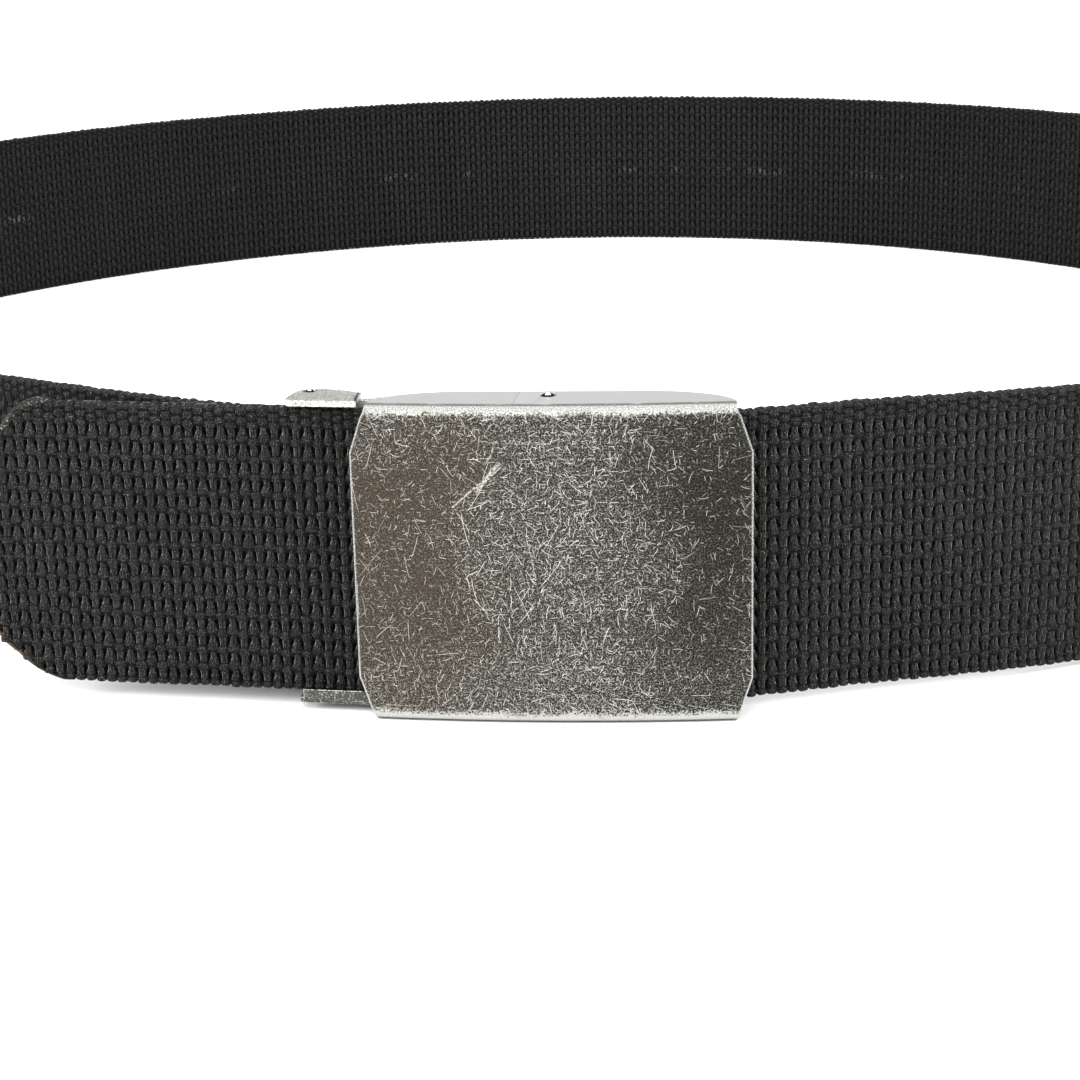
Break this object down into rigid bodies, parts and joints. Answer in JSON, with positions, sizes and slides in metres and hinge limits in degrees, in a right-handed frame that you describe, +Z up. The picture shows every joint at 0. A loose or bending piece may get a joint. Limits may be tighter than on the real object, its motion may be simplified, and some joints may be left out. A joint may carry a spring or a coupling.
{
  "type": "everyday carry webbing belt",
  "caption": "Woven webbing belt closed into a waist loop, with a cover-plate friction buckle and a short free tongue, standing on its lower edge.",
  "frame": {"origin": "middle of the belt's box, on the surface it stands on", "axes": "+Z up from the lower edge, the buckle is at -Y and its face looks along -Y, +X to the right of someone looking at the buckle's face"},
  "size_m": [0.3562, 0.3674, 0.0417],
  "materials": {
    "webbing": "coarse open weave of near-black synthetic yarn, matt with a faint sheen on each float",
    "cover_metal": "antique silver, dark patina with fine random scratches and bright worn edges",
    "frame_metal": "antique silver, scuffed, worn bright on its edges",
    "pin_metal": "darkened steel, bright on the struck end"
  },
  "bodies": {
    "root": {"strap": "webbing", "cover_plate": "cover_metal", "base_frame": "frame_metal", "locking_bar": "frame_metal", "end_clamp": "frame_metal", "cover_pin": "pin_metal", "ear_pin": "pin_metal"}
  },
  "joints": []
}
